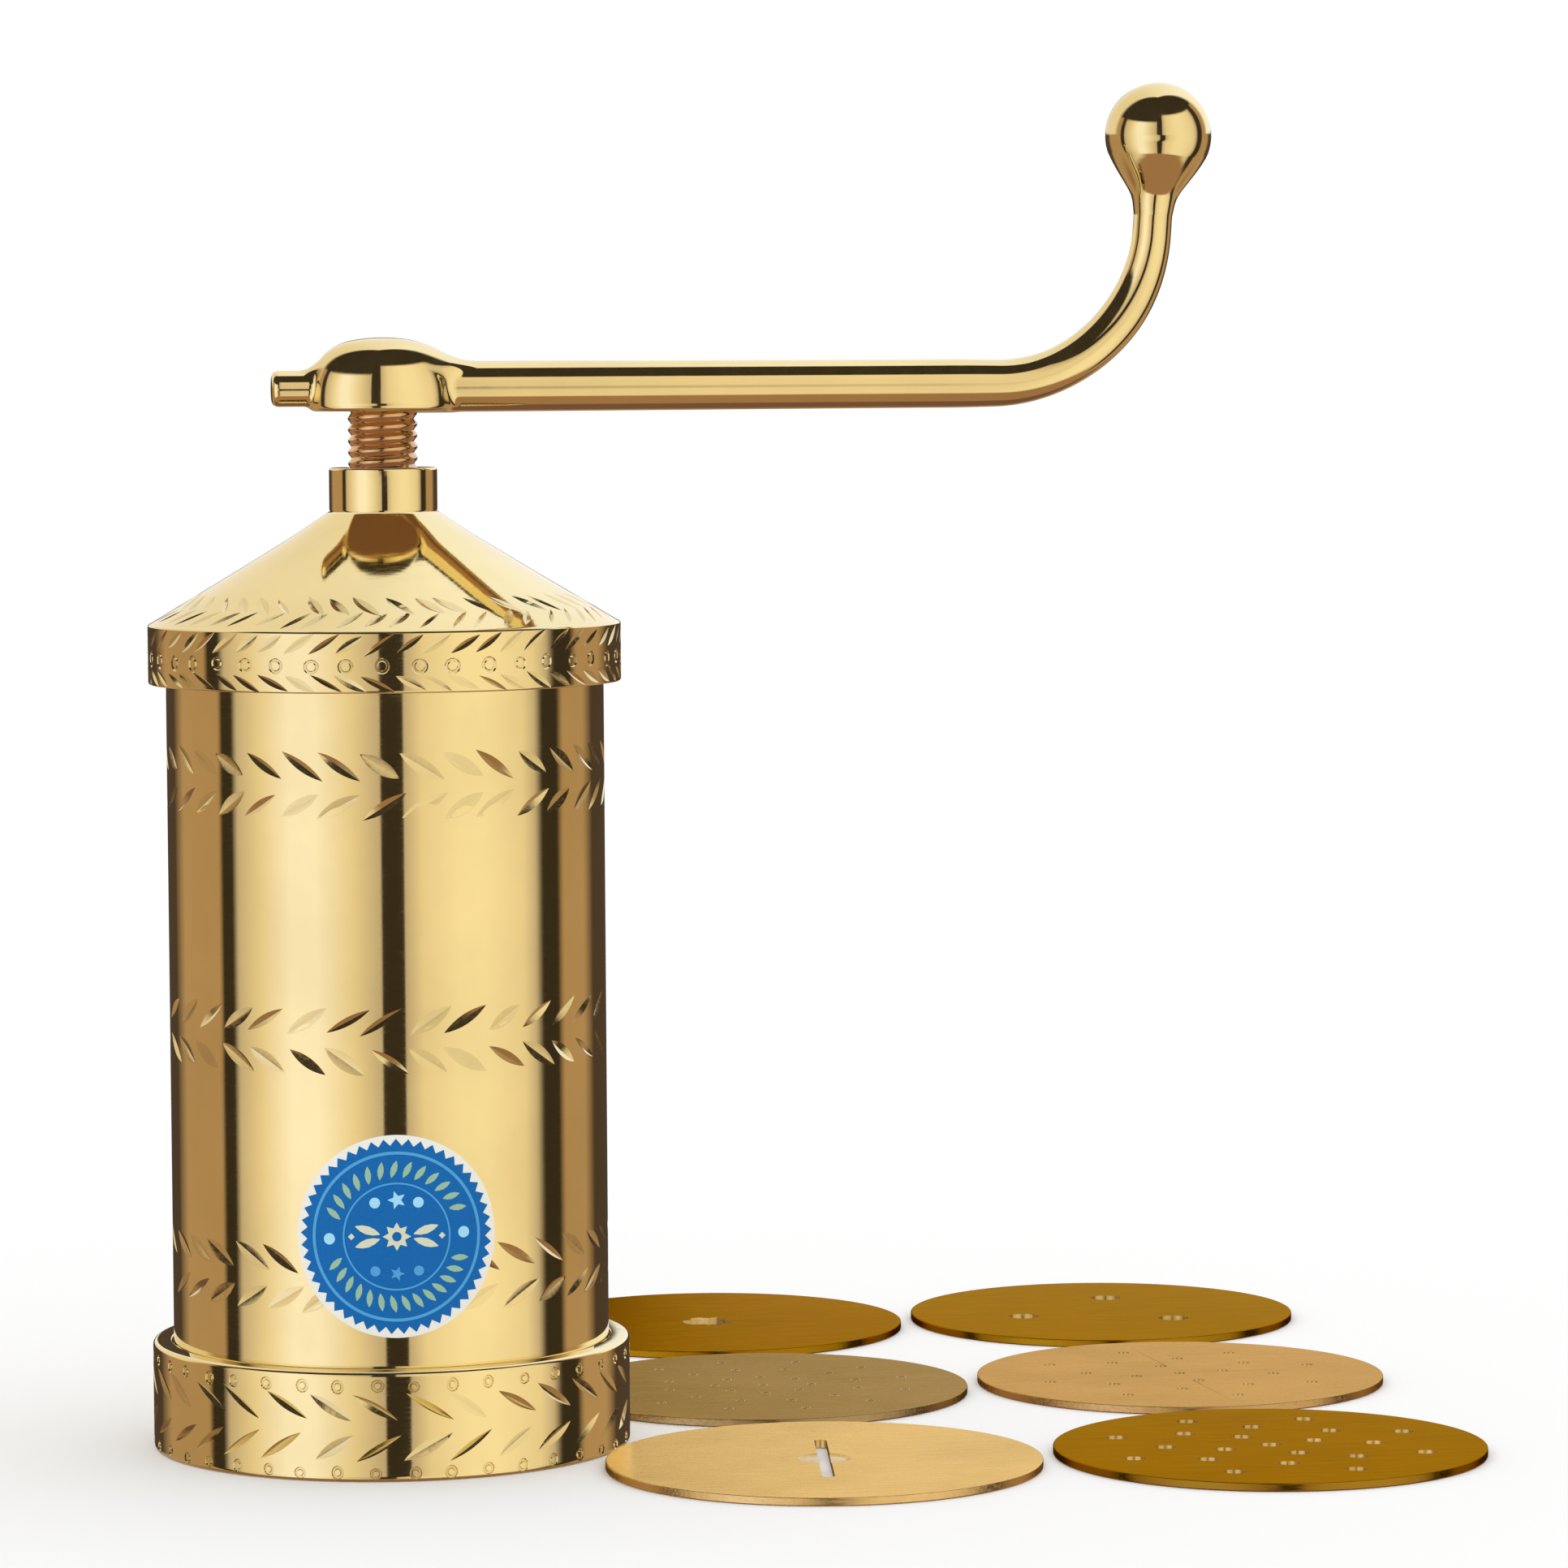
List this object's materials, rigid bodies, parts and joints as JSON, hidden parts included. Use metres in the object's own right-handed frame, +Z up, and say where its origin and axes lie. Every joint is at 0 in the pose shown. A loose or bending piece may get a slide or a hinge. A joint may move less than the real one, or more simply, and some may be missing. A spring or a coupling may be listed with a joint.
{
  "type": "sevai maker",
  "caption": "Brass hand press for rice noodles: engraved barrel, screw-on conical lid, crank-driven screw and piston, screw-on die ring, loose die discs beside it.",
  "frame": {"origin": "centre of the die ring's lower opening, on the surface that the press stands on", "axes": "+Z up along the barrel and screw axis, +X along the crank arm at rest, -Y towards the side that carries the seal"},
  "size_m": [0.1977, 0.1999, 0.2057],
  "materials": {
    "polished_brass": "polished",
    "screw_brass": "machined, reddish",
    "turned_brass": "turned",
    "dark_sheet_brass": "smooth sheet",
    "brushed_sheet_brass": "brushed sheet",
    "seal_film": "printed film"
  },
  "bodies": {
    "base": {"die_ring": "polished_brass", "die_star": "dark_sheet_brass", "die_ribbon": "dark_sheet_brass", "die_fine": "brushed_sheet_brass", "die_medium": "brushed_sheet_brass", "die_slot": "brushed_sheet_brass", "die_coarse": "dark_sheet_brass"},
    "barrel": {"barrel_tube": "polished_brass", "seal_sticker": "seal_film"},
    "lid": {"lid_cap": "polished_brass", "lid_bush": "polished_brass"},
    "piston": {"piston_plate": "turned_brass", "piston_hub": "turned_brass", "thrust_washer": "turned_brass"},
    "crank": {"spindle": "screw_brass", "crank_arm": "polished_brass", "grip_knob": "polished_brass", "end_washer": "turned_brass"}
  },
  "joints": [
    {"name": "barrel_lift", "type": "slide", "parent": "base", "child": "barrel", "axis": [0, 0, 1], "range_m": [0, 0.02]},
    {"name": "lid_lift", "type": "slide", "parent": "barrel", "child": "lid", "axis": [0, 0, 1], "range_m": [0, 0.125]},
    {"name": "piston_travel", "type": "slide", "parent": "lid", "child": "piston", "axis": [0, 0, 1], "range_m": [-0.0081, 0.1041]},
    {"name": "crank_turn", "type": "hinge", "parent": "piston", "child": "crank", "pos_m": [0, 0, 0.16], "axis": [0, 0, 1], "range_deg": [-1440, 18720]}
  ],
  "couplings": [
    {"joint": "piston_travel", "follows": "crank_turn", "m_per_rad": 0.0003183}
  ]
}
